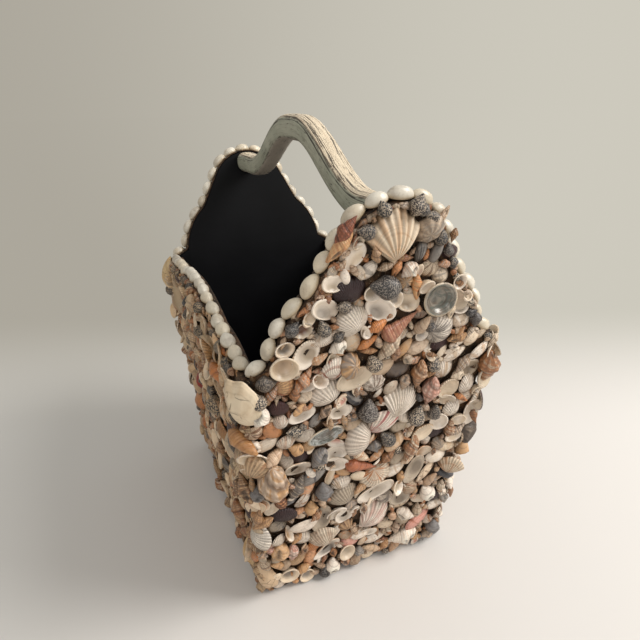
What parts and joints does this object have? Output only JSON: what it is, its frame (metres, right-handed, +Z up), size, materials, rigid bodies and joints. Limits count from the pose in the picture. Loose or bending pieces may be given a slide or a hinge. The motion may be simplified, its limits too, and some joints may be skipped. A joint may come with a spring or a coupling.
{
  "type": "shell-covered basket",
  "caption": "Open wooden carrier basket with outward-leaning walls covered in sea shells, cowrie-edged rim, gabled ends and a bow-shaped painted wooden handle.",
  "frame": {"origin": "middle of the underside, on the surface that the basket stands on", "axes": "+Z up, Y along the basket and its handle with the front end at -Y, X across it"},
  "size_m": [0.2508, 0.4356, 0.45],
  "materials": {
    "black_paint": "satin black paint on wood",
    "aged_paint": "distressed pale green and cream paint, crackled, with dark lines along the grain",
    "cowrie": "glossy cream shell",
    "mixed_shell": "mixed sea shells, matt to glossy, set in tan adhesive"
  },
  "bodies": {
    "root": {"end_board_front": "black_paint", "end_board_back": "black_paint", "side_board_left": "black_paint", "side_board_right": "black_paint", "bottom_board": "black_paint", "handle": "aged_paint", "cowries_front": "cowrie", "cowries_back": "cowrie", "cowries_left": "cowrie", "cowries_right": "cowrie", "shells_front": "mixed_shell", "shells_back": "mixed_shell", "shells_left": "mixed_shell", "shells_right": "mixed_shell"}
  },
  "joints": []
}
